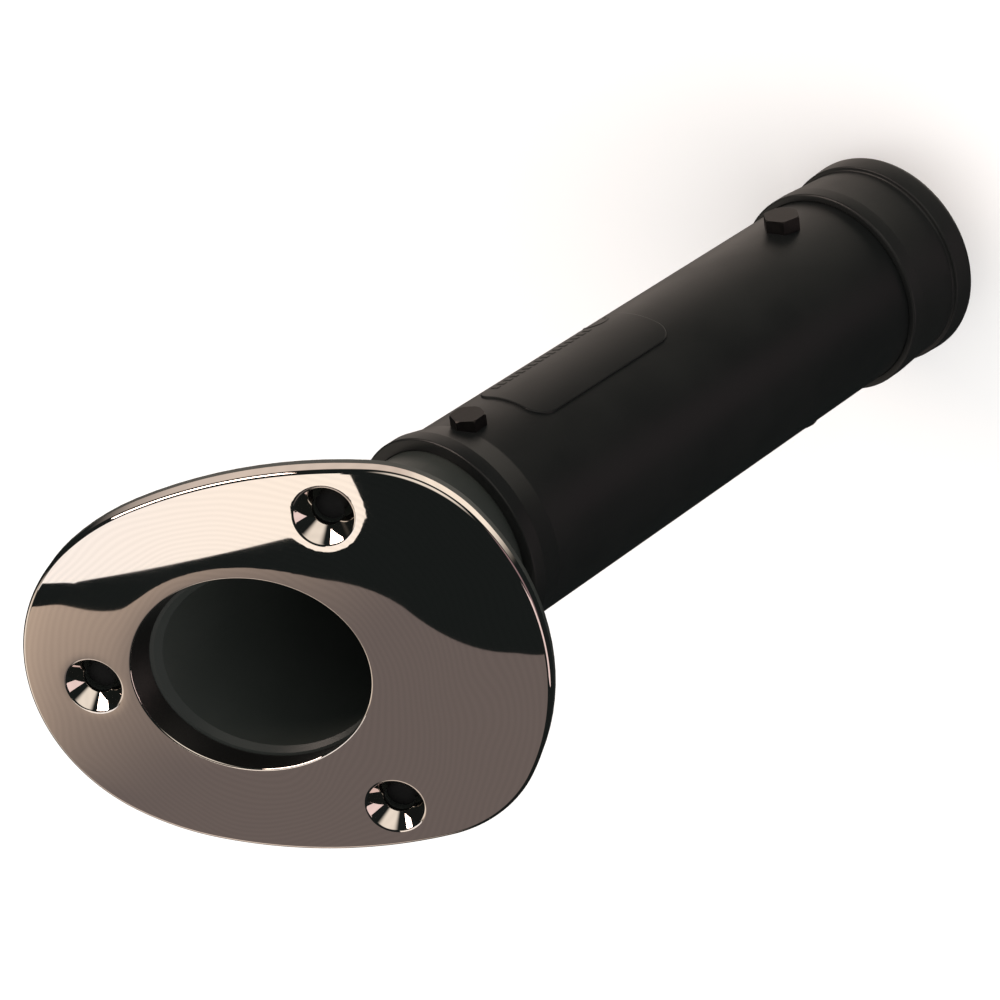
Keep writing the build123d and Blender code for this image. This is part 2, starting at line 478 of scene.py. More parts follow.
def weld(mesh: bpy.types.Mesh, reach: float, sliver: float = 0.0, turn: bool = True) -> int:
    """Merge a mesh's points that lie within reach of one another.

    Args:
        mesh: the mesh, changed in place.
        reach: greatest distance between merged points, in millimetres.
        sliver: faces thinner than this, in millimetres, are dissolved.
        turn: whether the faces are also turned outwards.

    Returns:
        The number of edges that don't join two faces.
    """
    work = bmesh.new()
    work.from_mesh(mesh)
    bmesh.ops.remove_doubles(work, verts=work.verts, dist=reach * MM)
    if sliver:
        bmesh.ops.dissolve_degenerate(work, edges=work.edges, dist=sliver * MM)
    if turn:
        bmesh.ops.recalc_face_normals(work, faces=work.faces)
    loose = sum(1 for edge in work.edges if len(edge.link_faces) != 2)
    work.to_mesh(mesh)
    work.free()
    return loose


# ---- steel flange ---------------------------------------------------------------------------------


@dataclass
class Flange:
    """Domed steel cap with a rounded rim, an oblique oval mouth and three countersunk holes."""

    nose_x: float = 58.5
    arcs: tuple[tuple[float, float], ...] = ((54.0, 33.5), (29.0, 81.0), (116.0, 106.5), (59.5, 124.0))
    underside: float = 2.6
    crown: float = 8.35
    dome_r: float = 600.0
    rim_round: float = 0.9
    mouth_r: float = 22.3
    lip_round: float = 0.45
    hole_circle_r: float = 39.0
    hole_angles: tuple[float, ...] = (60.0, 180.0, 300.0)
    hole_r: float = 3.3
    sink_r: float = 6.3
    sink_half_deg: float = 41.0
    sink_round: float = 0.8
    rim_fall: tuple[float, float] = (0.12, 7.0)
    mouth_fall: tuple[float, float] = (0.05, 5.0)
    sink_fall: tuple[float, float] = (0.05, 2.6)
    around_rim: float = 0.6
    around_mouth: int = 300
    around_sink: int = 96
    spacing: float = 1.0
    coarse: float = 5.0
    field: tuple[tuple[float, float], tuple[float, float]] = ((-60.0, 62.0), (-48.0, 48.0))
    skin: float = 0.01
    arris: float = 0.12
    mouth_arris: float = 0.25
    rows: int = 9
    settling: int = 24
    rim_rows: int = 13
    sink_steps: tuple[float, float] = (5.2, 4.3)
    sink_foot_deg: float = 75.0

    def outline(self) -> tuple[np.ndarray, np.ndarray, np.ndarray, np.ndarray]:
        """Centres, radii, and first and last normal directions of the outline's arcs, all the way round.

        Each arc starts where the last one ends with the same normal, so each centre lies on the line
        from the last arc's end through the last centre. The heel arc closes on the centreline.
        """
        centres, radii, starts, ends = [], [], [], []
        x, y, angle = self.nose_x, 0.0, 0.0
        for radius, end_deg in self.arcs:
            end = math.radians(end_deg)
            cx, cy = x - radius * math.cos(angle), y - radius * math.sin(angle)
            centres.append((cx, cy))
            radii.append(radius)
            starts.append(angle)
            ends.append(end)
            x, y, angle = cx + radius * math.cos(end), cy + radius * math.sin(end), end
        heel = y / math.sin(angle)
        centres.append((x - heel * math.cos(angle), 0.0))
        radii.append(heel)
        starts.append(angle)
        ends.append(math.pi)
        mirrored = [(cx, -cy) for cx, cy in reversed(centres)]
        return (
            np.array(centres + mirrored),
            np.array(radii + radii[::-1]),
            np.array(starts + [2 * math.pi - e for e in reversed(ends)]),
            np.array(ends + [2 * math.pi - s for s in reversed(starts)]),
        )

    def rim_walk(self) -> tuple[np.ndarray, np.ndarray]:
        """Points round the outline about around_rim apart, and their outward normals.

        They lie skin inside the exact arcs, so that the face stays within the CAD's faceted box.
        """
        centres, radii, starts, ends = self.outline()
        points, normals = [], []
        for centre, radius, start, end in zip(centres, radii, starts, ends):
            count = max(2, round(radius * (end - start) / self.around_rim))
            angle = np.linspace(start, end, count, endpoint=False)
            out = np.stack([np.cos(angle), np.sin(angle)], axis=1)
            points.append(centre + (radius - self.skin) * out)
            normals.append(out)
        return np.concatenate(points), np.concatenate(normals)

    def inside(self, xy: np.ndarray) -> tuple[np.ndarray, np.ndarray]:
        """Distance in from the outline, and the unit direction in, at points of the plan.

        Within an arc's sector the distance is its radius less the distance to its centre, and the
        nearest of the arcs counts.
        """
        centres, radii, starts, ends = self.outline()
        arm = xy[:, None, :] - centres[None, :, :]
        reach = np.linalg.norm(arm, axis=2)
        turn = np.mod(np.arctan2(arm[..., 1], arm[..., 0]), 2 * math.pi)
        held = (turn >= starts - 1e-6) & (turn <= ends + 1e-6)
        depth = np.where(held, radii - reach, 1e9)
        best = np.argmin(depth, axis=1)
        row = np.arange(len(xy))
        inward = -arm[row, best] / np.maximum(reach[row, best], 1e-9)[:, None]
        return depth[row, best], inward

    def holes(self) -> np.ndarray:
        """Centres of the three screw holes in plan."""
        turn = np.radians(self.hole_angles)
        return self.hole_circle_r * np.stack([np.cos(turn), np.sin(turn)], axis=1)

    @staticmethod
    def fall(distance: np.ndarray, drop: float, width: float) -> tuple[np.ndarray, np.ndarray]:
        """Depth and slope of a soft roll-off: drop (1 - distance / width) cubed, none past the width."""
        left = np.clip(1 - distance / width, 0, 1)
        return drop * left**3, -3 * drop / width * left**2

    def top(self, xy: np.ndarray) -> tuple[np.ndarray, np.ndarray]:
        """Height and gradient of the polished face before its edges are rounded.

        The face is a sphere of dome_r, less soft roll-offs towards the rim, the mouth and the holes.

        Args:
            xy: points of the plan in millimetres.

        Returns:
            Heights, and gradients as pairs.
        """
        x, y = xy[:, 0], xy[:, 1]
        root = np.sqrt(self.dome_r**2 - x**2 - y**2)
        height = self.crown - self.dome_r + root
        grad = -xy / root[:, None]
        depth, inward = self.inside(xy)
        drop, slope = self.fall(depth, *self.rim_fall)
        height = height - drop
        grad = grad - slope[:, None] * inward
        level = self.crown
        across = x * math.cos(LEAN) + level * math.sin(LEAN)
        reach = np.maximum(np.hypot(across, y), 1e-6)
        drop, slope = self.fall(np.maximum(reach - self.mouth_r, 0), *self.mouth_fall)
        height = height - drop
        grad = grad - slope[:, None] * np.stack([across * math.cos(LEAN), y], axis=1) / reach[:, None]
        for centre in self.holes():
            arm = xy - centre
            far = np.maximum(np.linalg.norm(arm, axis=1), 1e-6)
            drop, slope = self.fall(np.maximum(far - self.sink_r, 0), *self.sink_fall)
            height = height - drop
            grad = grad - slope[:, None] * arm / far[:, None]
        return height, grad

    @staticmethod
    def facing(grad: np.ndarray) -> np.ndarray:
        """Upward unit normals of a height surface with this gradient."""
        return unit(np.column_stack([-grad, np.ones(len(grad))]))

    def rim(self) -> tuple[Patch, np.ndarray]:
        """Rounded rim and side wall, and the plan loop where the rounding meets the face.

        Going round by angle a from the wall (0) to the face (90 degrees), a point is rim_round (1 - cos a)
        in from the outline and rim_round (1 - sin a) below the face there.
        """
        edge, out = self.rim_walk()
        turn = np.radians(np.linspace(90, 0, self.rim_rows))[:, None]
        inset = self.rim_round * (1 - np.cos(turn))
        sink = self.rim_round * (1 - np.sin(turn))
        xy = edge[None] - inset[..., None] * out[None]
        height, grad = self.top(xy.reshape(-1, 2))
        z = height.reshape(inset.shape[0], -1) - sink
        level = self.facing(grad).reshape(*xy.shape[:2], 3)
        flat = np.concatenate([out, np.zeros((len(out), 1))], axis=1)[None]
        normal = unit(np.sin(turn)[..., None] * level + np.cos(turn)[..., None] * flat)
        points = np.concatenate([xy, z[..., None]], axis=2)
        foot = self.underside
        wall = np.repeat(points[-1:], 3, axis=0)
        wall[0, :, 2] = (z[-1].min() + foot) / 2
        wall[1, :, 2] = foot + self.arris
        wall[2, :, 2] = foot
        wall[2, :, :2] -= self.arris * out
        wall_normal = np.repeat(flat, 3, axis=0).copy()
        wall_normal[2] = unit(flat[0] + np.array([0, 0, -1.0]))
        points = np.concatenate([points, wall])
        normal = np.concatenate([normal, wall_normal])
        return gridded(points, normal), points

    def mouth(self) -> tuple[list[Patch], np.ndarray]:
        """Rolled lip and bore wall of the mouth, and the grid of their points.

        A ball of lip_round is rolled round inside the steel's edge: its centre lies mouth_r + lip_round from
        the axis, at the height where the ball touches the face. The lip is the ball's surface from the
        face's own normal round to the bore wall's, sin((1 - t) w) n + sin(t w) m over sin w for share t of
        the angle w between the normals n and m.
        """
        turn = np.linspace(0, 2 * math.pi, self.around_mouth, endpoint=False)
        ray = np.cos(turn)[:, None] * -BORE_X + np.sin(turn)[:, None] * BORE_Y
        up = -BORE_DOWN
        rise = np.full(len(turn), self.crown / up[2])
        face = np.tile([0.0, 0.0, 1.0], (len(turn), 1))
        for _ in range(self.settling):
            centre = (self.mouth_r + self.lip_round) * ray + rise[:, None] * up
            touch = centre + self.lip_round * face
            height, grad = self.top(touch[:, :2])
            rise = rise + (height - touch[:, 2]) / up[2]
            face = self.facing(grad)
        centre = (self.mouth_r + self.lip_round) * ray + rise[:, None] * up
        swing = np.arccos(np.clip(np.sum(face * -ray, axis=1), -1, 1))[None, :, None]
        share = np.linspace(0, 1, self.rows)[:, None, None]
        normal = (np.sin((1 - share) * swing) * face + np.sin(share * swing) * -ray) / np.sin(swing)
        lip = centre + self.lip_round * normal
        lip[0, :, 2], grad = self.top(lip[0, :, :2])
        normal[0] = self.facing(grad)
        end = lip[-1]
        drop = (end[:, 2] - self.underside) / -BORE_DOWN[2]
        stages = np.stack([drop * 0.5, drop - self.mouth_arris, drop])
        wall = end[None] + stages[..., None] * BORE_DOWN
        outwards = np.concatenate([unit(ray[:, :2]), np.zeros((len(ray), 1))], axis=1)
        wall[-1] += self.mouth_arris * 0.8 * outwards
        wall_normal = np.repeat(-ray[None], 3, axis=0).copy()
        wall_normal[2] = unit(-ray + BORE_DOWN)
        lower = np.concatenate([lip[-1:], wall])
        lower_normal = np.concatenate([normal[-1:], wall_normal])
        return [gridded(lip, normal), gridded(lower, lower_normal, 1)], np.concatenate([lip, wall])

    def sink(self, centre: np.ndarray) -> tuple[list[Patch], np.ndarray]:
        """Countersink and screw hole round one centre, and the grid of their points.

        Depth below the face is zero outside the rounding, follows an arc of sink_round, then falls by
        1 / tan(sink_half_deg) a millimetre to the hole, and the wall goes straight down.
        """
        steep = math.radians(90 - self.sink_half_deg)
        reach = self.sink_round * math.tan(steep / 2)
        turn = np.linspace(0, steep, self.rows)
        r_arc = self.sink_r + reach - self.sink_round * np.sin(turn)
        d_arc = self.sink_round * (1 - np.cos(turn))
        r_cone = np.array([*self.sink_steps, self.hole_r + self.arris])
        d_cone = d_arc[-1] + (r_arc[-1] - r_cone) * math.tan(steep)
        radii = np.concatenate([r_arc, r_cone, [self.hole_r]])
        depth = np.concatenate([d_arc, d_cone, [d_cone[-1] + 0.2]])
        foot = math.tan(math.radians(self.sink_foot_deg))
        slope = np.concatenate([np.tan(turn), np.full(3, math.tan(steep)), [foot]])
        angle = np.linspace(0, 2 * math.pi, self.around_sink, endpoint=False)
        ray = np.stack([np.cos(angle), np.sin(angle)], axis=1)
        xy = centre + radii[:, None, None] * ray[None]
        height, grad = self.top(xy.reshape(-1, 2))
        z = height.reshape(xy.shape[:2]) - depth[:, None]
        grad = grad.reshape(xy.shape) + slope[:, None, None] * ray[None]
        normal = self.facing(grad.reshape(-1, 2)).reshape(*xy.shape[:2], 3)
        cone = np.concatenate([xy, z[..., None]], axis=2)
        wall = np.repeat(cone[-1:], 3, axis=0)
        wall[0, :, 2] -= self.mouth_arris
        wall[1, :, 2] = self.underside + self.arris
        wall[2, :, 2] = self.underside
        wall[2, :, :2] += self.arris * ray
        inner = np.concatenate([-ray, np.zeros((len(ray), 1))], axis=1)
        wall_normal = np.repeat(inner[None], 3, axis=0).copy()
        wall_normal[2] = unit(inner + np.array([0, 0, -1.0]))
        lower = np.concatenate([cone[-1:], wall])
        lower_normal = np.concatenate([normal[-1:], wall_normal])
        return [gridded(cone, normal), gridded(lower, lower_normal, 1)], np.concatenate([cone, wall])

    @staticmethod
    def filled(loops: list[np.ndarray], spare: np.ndarray) -> tuple[np.ndarray, np.ndarray]:
        """Triangles between an outer loop and the loops inside it, through spare points.

        Args:
            loops: closed plan loops, the outer one first.
            spare: plan points to fill the region with.

        Returns:
            All the plan points, and the triangles that lie inside the outer loop and outside the others.
        """
        points = np.concatenate([*loops, spare])
        edges, start = [], 0
        for loop in loops:
            ring = start + np.arange(len(loop))
            edges.append(np.column_stack([ring, np.roll(ring, -1)]))
            start += len(loop)
        result = delaunay_2d_cdt(
            [Vector(p) for p in points.tolist()], np.concatenate(edges).tolist(), [], 0, 1e-9, True
        )
        if len(result[0]) != len(points):
            raise ValueError("the face's loops cross")
        triangles = np.array(result[2])
        middle = points[triangles].mean(axis=1)
        keep = np.ones(len(triangles), bool)
        for number, loop in enumerate(loops):
            keep &= Flange.within(middle, loop) == (number == 0)
        return points, triangles[keep]

    @staticmethod
    def within(xy: np.ndarray, loop: np.ndarray) -> np.ndarray:
        """Whether plan points lie inside a closed loop: a ray along X crosses an odd number of sides."""
        a, b = loop, np.roll(loop, -1, axis=0)
        y = xy[:, 1:2]
        spans = (a[:, 1] > y) != (b[:, 1] > y)
        rise = np.where(b[:, 1] == a[:, 1], 1.0, b[:, 1] - a[:, 1])
        crossing = a[:, 0] + (y - a[:, 1]) / rise * (b[:, 0] - a[:, 0])
        return (spans & (xy[:, :1] < crossing)).sum(axis=1) % 2 == 1

    def lattice(self, loops: list[np.ndarray], spacing: float) -> np.ndarray:
        """Plan points on a triangular lattice, inside the first loop, outside the rest, clear of all."""
        x = np.arange(*self.field[0], spacing)
        y = np.arange(*self.field[1], spacing * math.sqrt(3) / 2)
        gx, gy = np.meshgrid(x, y)
        gx[1::2] += spacing / 2
        xy = np.column_stack([gx.ravel(), gy.ravel()])
        for number, loop in enumerate(loops):
            xy = xy[self.within(xy, loop) == (number == 0)]
            near = np.min(np.linalg.norm(xy[:, None] - loop[None], axis=2), axis=1)
            xy = xy[near > 0.55 * spacing]
        return xy

    def build(self) -> bpy.types.Mesh:
        """The whole cap as one closed mesh with its exact normals."""
        rim_patch, rim_grid = self.rim()
        mouth_patches, mouth_grid = self.mouth()
        sinks = [self.sink(centre) for centre in self.holes()]
        patches = [rim_patch, *mouth_patches]
        for made, _ in sinks:
            patches += made
        grids = [rim_grid, mouth_grid, *[grid for _, grid in sinks]]
        upper = [grid[0, :, :2] for grid in grids]
        lower = [grid[-1, :, :2] for grid in grids]
        xy, triangles = self.filled(upper, self.lattice(upper, self.spacing))
        height, grad = self.top(xy)
        patches.append(Patch(np.column_stack([xy, height]), self.facing(grad), self.upwards(xy, triangles)))
        xy, triangles = self.filled(lower, self.lattice(lower, self.coarse))
        flat = np.column_stack([xy, np.full(len(xy), self.underside)])
        down = np.tile([0.0, 0.0, -1.0], (len(xy), 1))
        patches.append(Patch(flat, down, self.upwards(xy, triangles)[:, ::-1], finish=1))
        return joined("flange_shell", patches)

    @staticmethod
    def upwards(xy: np.ndarray, triangles: np.ndarray) -> np.ndarray:
        """Triangles turned so that they run anticlockwise in plan."""
        a, b, c = xy[triangles[:, 0]], xy[triangles[:, 1]], xy[triangles[:, 2]]
        area = (b - a)[:, 0] * (c - a)[:, 1] - (b - a)[:, 1] * (c - a)[:, 0]
        return np.where(area[:, None] > 0, triangles, triangles[:, ::-1])


def agreeing(patch: Patch) -> np.ndarray:
    """A patch's faces, turned over if they run against the normals it carries."""
    corner = patch.points[patch.faces[:, :3]]
    across = np.cross(corner[:, 1] - corner[:, 0], corner[:, 2] - corner[:, 0])
    carried = patch.normals[patch.faces[:, 0]]
    return patch.faces if np.sum(across * carried) > 0 else patch.faces[:, ::-1]


def joined(name: str, patches: list[Patch]) -> bpy.types.Mesh:
    """One closed mesh from patches that share their edge points, shaded by the normals they carry.

    Args:
        name: name of the mesh.
        patches: the patches, in any winding.

    Returns:
        The merged mesh.
    """
    points = np.concatenate([p.points for p in patches])
    normals = np.concatenate([p.normals for p in patches])
    starts = np.cumsum([0] + [len(p.points) for p in patches[:-1]])
    faces = [agreeing(p) + start for p, start in zip(patches, starts)]
    mesh = mesh_from(name, points, faces, [p.finish for p in patches])
    held = mesh.attributes.new("carried_normal", "FLOAT_VECTOR", "POINT")
    held.data.foreach_set("vector", normals.astype(np.float32).ravel())
    log.info("%s: %d open edges", name, weld(mesh, PATCH_REACH, turn=False))
    mesh.shade_smooth()
    kept = np.zeros(len(mesh.vertices) * 3, np.float32)
    mesh.attributes["carried_normal"].data.foreach_get("vector", kept)
    mesh.normals_split_custom_set_from_vertices(unit(kept.reshape(-1, 3)).tolist())
    mesh.attributes.remove(mesh.attributes["carried_normal"])
    return mesh


@dataclass
class Gasket:
    """Neoprene sheet under the flange, cut for the tube only and left whole under the screw holes: a dark
    sheet that stands for the shade at the bottom of the holes.
    """

    inset: float = 1.2
    thick: float = 1.0
    slack: float = 0.02
    hole_r: float = 24.5
    around: int = 200

    def oval(self, z: float) -> np.ndarray:
        """Plan loop of the tube's hole at height z.

        x = (r cos a - z sin(lean)) / cos(lean) and y = r sin a, as the hole slants with the tube.
        """
        turn = np.linspace(0, 2 * math.pi, self.around, endpoint=False)
        x = (self.hole_r * np.cos(turn) - z * math.sin(LEAN)) / math.cos(LEAN)
        return np.column_stack([x, self.hole_r * np.sin(turn)])

    def build(self, flange: Flange) -> bpy.types.Mesh:
        """The sheet as a closed mesh: the flange's outline less the inset, with the tube's hole in it."""
        edge, out = flange.rim_walk()
        rim = edge - (self.inset + self.slack) * out
        levels = (self.slack, self.thick)
        floors = [self.filled_at(z, rim, self.oval(z)) for z in levels]
        count = len(floors[0][0])
        points = np.concatenate([floors[0][0], floors[1][0]])
        walls = []
        for start, size in ((0, len(rim)), (len(rim), self.around)):
            near = start + np.arange(size)
            ahead = np.roll(near, -1)
            walls.append(np.column_stack([near, ahead, ahead + count, near + count]))
        faces = [floors[0][1], floors[1][1] + count, *walls]
        mesh = mesh_from("gasket_sheet", points, faces, [0] * len(faces))
        outward(mesh)
        return mesh

    @staticmethod
    def filled_at(z: float, rim: np.ndarray, oval: np.ndarray) -> tuple[np.ndarray, np.ndarray]:
        """Points and triangles of the flat ring between two plan loops at height z."""
        xy, triangles = Flange.filled([rim, oval], np.zeros((0, 2)))
        return np.column_stack([xy, np.full(len(xy), z)]), triangles


# ---- tube -----------------------------------------------------------------------------------------


@dataclass
class Barrel:
    """Outer barrel with its front bead, and the raised panel on its side."""

    inner_r: float = 22.45
    outer_r: float = 24.0
    start: float = 52.0
    end: float = 203.0
    bead_r: float = 25.35
    bead_w: float = 3.6
    bead_taper: float = 6.0
    bead_round: float = 0.5
    around: int = 256
    panel_line_deg: float = 96.0
    panel_half_deg: float = 25.0
    panel_start: float = 76.0
    panel_end: float = 123.0
    panel_rise: float = 0.45
    panel_corner: float = 5.0
    panel_root: float = 0.3
    tick_rows: tuple[tuple[float, float, float, float, float], ...] = (
        (-7.2, 2.2, 80.0, 114.0, 2.1),
        (-11.2, 1.9, 80.0, 110.0, 1.7),
    )
    tick_rise: float = 0.16
    tick_edge: float = 0.3
    ring_half: float = 0.35
    panel_edge: float = 0.35
    panel_grid: tuple[int, int] = (121, 281)
    panel_reach: float = 0.002
    panel_crease_deg: float = 50.0
    disc: tuple[float, float, float] = (-9.3, 117.6, 3.1)

    def shell(self) -> bpy.types.Mesh:
        """Barrel wall: bead, short taper behind it, then the straight tube."""
        corners = [
            (self.inner_r, self.start),
            (self.bead_r, self.start),
            (self.bead_r, self.start + self.bead_w),
            (self.outer_r, self.start + self.bead_w + self.bead_taper),
            (self.outer_r, (self.start + self.end) / 2),
            (self.outer_r, self.end),
            (self.inner_r, self.end),
        ]
        profile = rounded(corners, [0.2, self.bead_round, 1.2, 3.0, 0.0, 0.3, 0.2])
        return revolved("barrel_shell", profile, self.around)

    def relief(self, across: np.ndarray, along: np.ndarray) -> np.ndarray:
        """Height of the panel's face above its own flat, from rows of plain bars and one plain ring.

        Each bar is a rounded box: the height falls from one to zero over tick_edge round it.
        """

        def soft(distance: np.ndarray) -> np.ndarray:
            """3 t squared less 2 t cubed, where t falls from one to zero across a shape's edge."""
            t = np.clip(0.5 - distance / self.tick_edge, 0, 1)
            return t * t * (3 - 2 * t)

        height = np.zeros(np.broadcast(across, along).shape)
        for middle, tall, first, last, pitch in self.tick_rows:
            phase = np.abs(np.mod(along - first, pitch) - pitch / 2) - pitch * 0.28
            side = np.abs(across - middle) - tall / 2
            ends = np.maximum(first - along, along - last)
            height = np.maximum(height, soft(np.maximum(np.maximum(phase, side), ends)))
        middle, station, radius = self.disc
        ring = np.abs(np.hypot(across - middle, along - station) - radius) - self.ring_half
        return np.maximum(height, soft(ring)) * self.tick_rise

    def panel(self) -> bpy.types.Mesh:
        """Raised panel that follows the barrel.

        The panel is a rounded rectangle in (distance round the barrel, station). Its face stands
        panel_rise over the barrel and drops to panel_root inside it across the edge.
        """
        half_w = (self.outer_r + self.panel_rise) * math.sin(math.radians(self.panel_half_deg))
        half_l = (self.panel_end - self.panel_start) / 2
        mid = (self.panel_start + self.panel_end) / 2
        u = np.linspace(-half_w, half_w, self.panel_grid[0])[:, None]
        v = np.linspace(-half_l, half_l, self.panel_grid[1])[None, :]
        across = np.broadcast_to(u, (u.shape[0], v.shape[1]))
        along = np.broadcast_to(v, across.shape)
        corner = self.panel_corner
        qx = np.maximum(np.abs(across) - (half_w - corner), 0)
        qy = np.maximum(np.abs(along) - (half_l - corner), 0)
        over = np.hypot(qx, qy)
        shrink = np.where(over > corner, corner / np.maximum(over, 1e-9), 1.0)
        px = np.where(qx > 0, np.sign(across) * (half_w - corner + qx * shrink), across)
        py = np.where(qy > 0, np.sign(along) * (half_l - corner + qy * shrink), along)
        inset = corner - np.hypot(
            np.maximum(np.abs(px) - (half_w - corner), 0), np.maximum(np.abs(py) - (half_l - corner), 0)
        )
        inset = np.minimum(inset, np.minimum(half_w - np.abs(px), half_l - np.abs(py)))
        t = np.clip(inset / self.panel_edge, 0, 1)
        rise = self.panel_rise * np.sqrt(np.maximum(1 - (1 - t) ** 2, 0))
        rise = np.where(inset <= 1e-6, -self.panel_root, rise) + self.relief(px, py + mid) * (t > 0.99)
        angle = np.radians(self.panel_line_deg) + np.arcsin(px / (self.outer_r + self.panel_rise))
        radius = self.outer_r + rise
        ray = np.cos(angle)[..., None] * BORE_X + np.sin(angle)[..., None] * BORE_Y
        face = radius[..., None] * ray + (py + mid)[..., None] * BORE_DOWN
        back = (self.outer_r - self.panel_root) * ray + (py + mid)[..., None] * BORE_DOWN
        rows, cols = across.shape
        quads = grid_faces(rows, cols, close_cols=False)
        points = np.concatenate([face.reshape(-1, 3), back.reshape(-1, 3)])
        mesh = mesh_from("barrel_panel", points, [quads, quads[:, ::-1] + rows * cols], [0, 0])
        log.info("barrel_panel: %d open edges", weld(mesh, self.panel_reach, self.panel_reach / 2))
        mesh.shade_smooth()
        mesh.set_sharp_from_angle(angle=math.radians(self.panel_crease_deg))
        return mesh


@dataclass
class EndCap:
    """Pushed-on end cap: collar, tapering waist and a rounded rim with a drained floor."""

    over_barrel: float = 24.05
    over_body: float = 22.45
    collar_s: float = 192.3
    collar_r: float = 25.8
    collar_w: float = 4.0
    waist_r: float = 24.85
    rim_s: float = 210.0
    rim_front_r: float = 26.0
    rim_r: float = 26.4
    rim_end: float = 217.0
    rim_round: float = 2.0
    floor_s: float = 213.2
    drain_r: float = 4.0
    barrel_end: float = 203.0
    around: int = 256

    def build(self) -> bpy.types.Mesh:
        """The cap's closed wall, turned about the bore axis."""
        corners = [
            (self.over_barrel, self.collar_s),
            (self.collar_r, self.collar_s),
            (self.collar_r, self.collar_s + self.collar_w),
            (self.waist_r, self.rim_s),
            (self.rim_front_r, self.rim_s),
            (self.rim_r, self.rim_end),
            (self.drain_r, self.rim_end),
            (self.drain_r, self.floor_s),
            (self.over_body, self.floor_s),
            (self.over_body, self.barrel_end),
            (self.over_barrel, self.barrel_end),
        ]
        radii = [0.2, 0.6, 1.5, 0.5, 0.4, self.rim_round, 0.6, 0.2, 0.2, 0.1, 0.1]
        return revolved("end_cap_shell", rounded(corners, radii, 6), self.around)


# ---- studio ---------------------------------------------------------------------------------------


@dataclass(frozen=True)
class Glow:
    """A soft bright patch of the studio, seen in reflections only."""

    direction: tuple[float, float, float]
    inner_deg: float
    outer_deg: float
    colour: str
    strength: float


@dataclass(frozen=True)
class Card:
    """A flat studio card over the holder, lit evenly, whose corners are given in metres at one height."""

    name: str
    corners: tuple[tuple[float, float], ...]
    height: float
    near: str
    far: str
    strength: float
    fade_from: tuple[float, float] = (0.0, 0.0)
    fade_to: tuple[float, float] = (1.0, 0.0)
    soften: int = 3


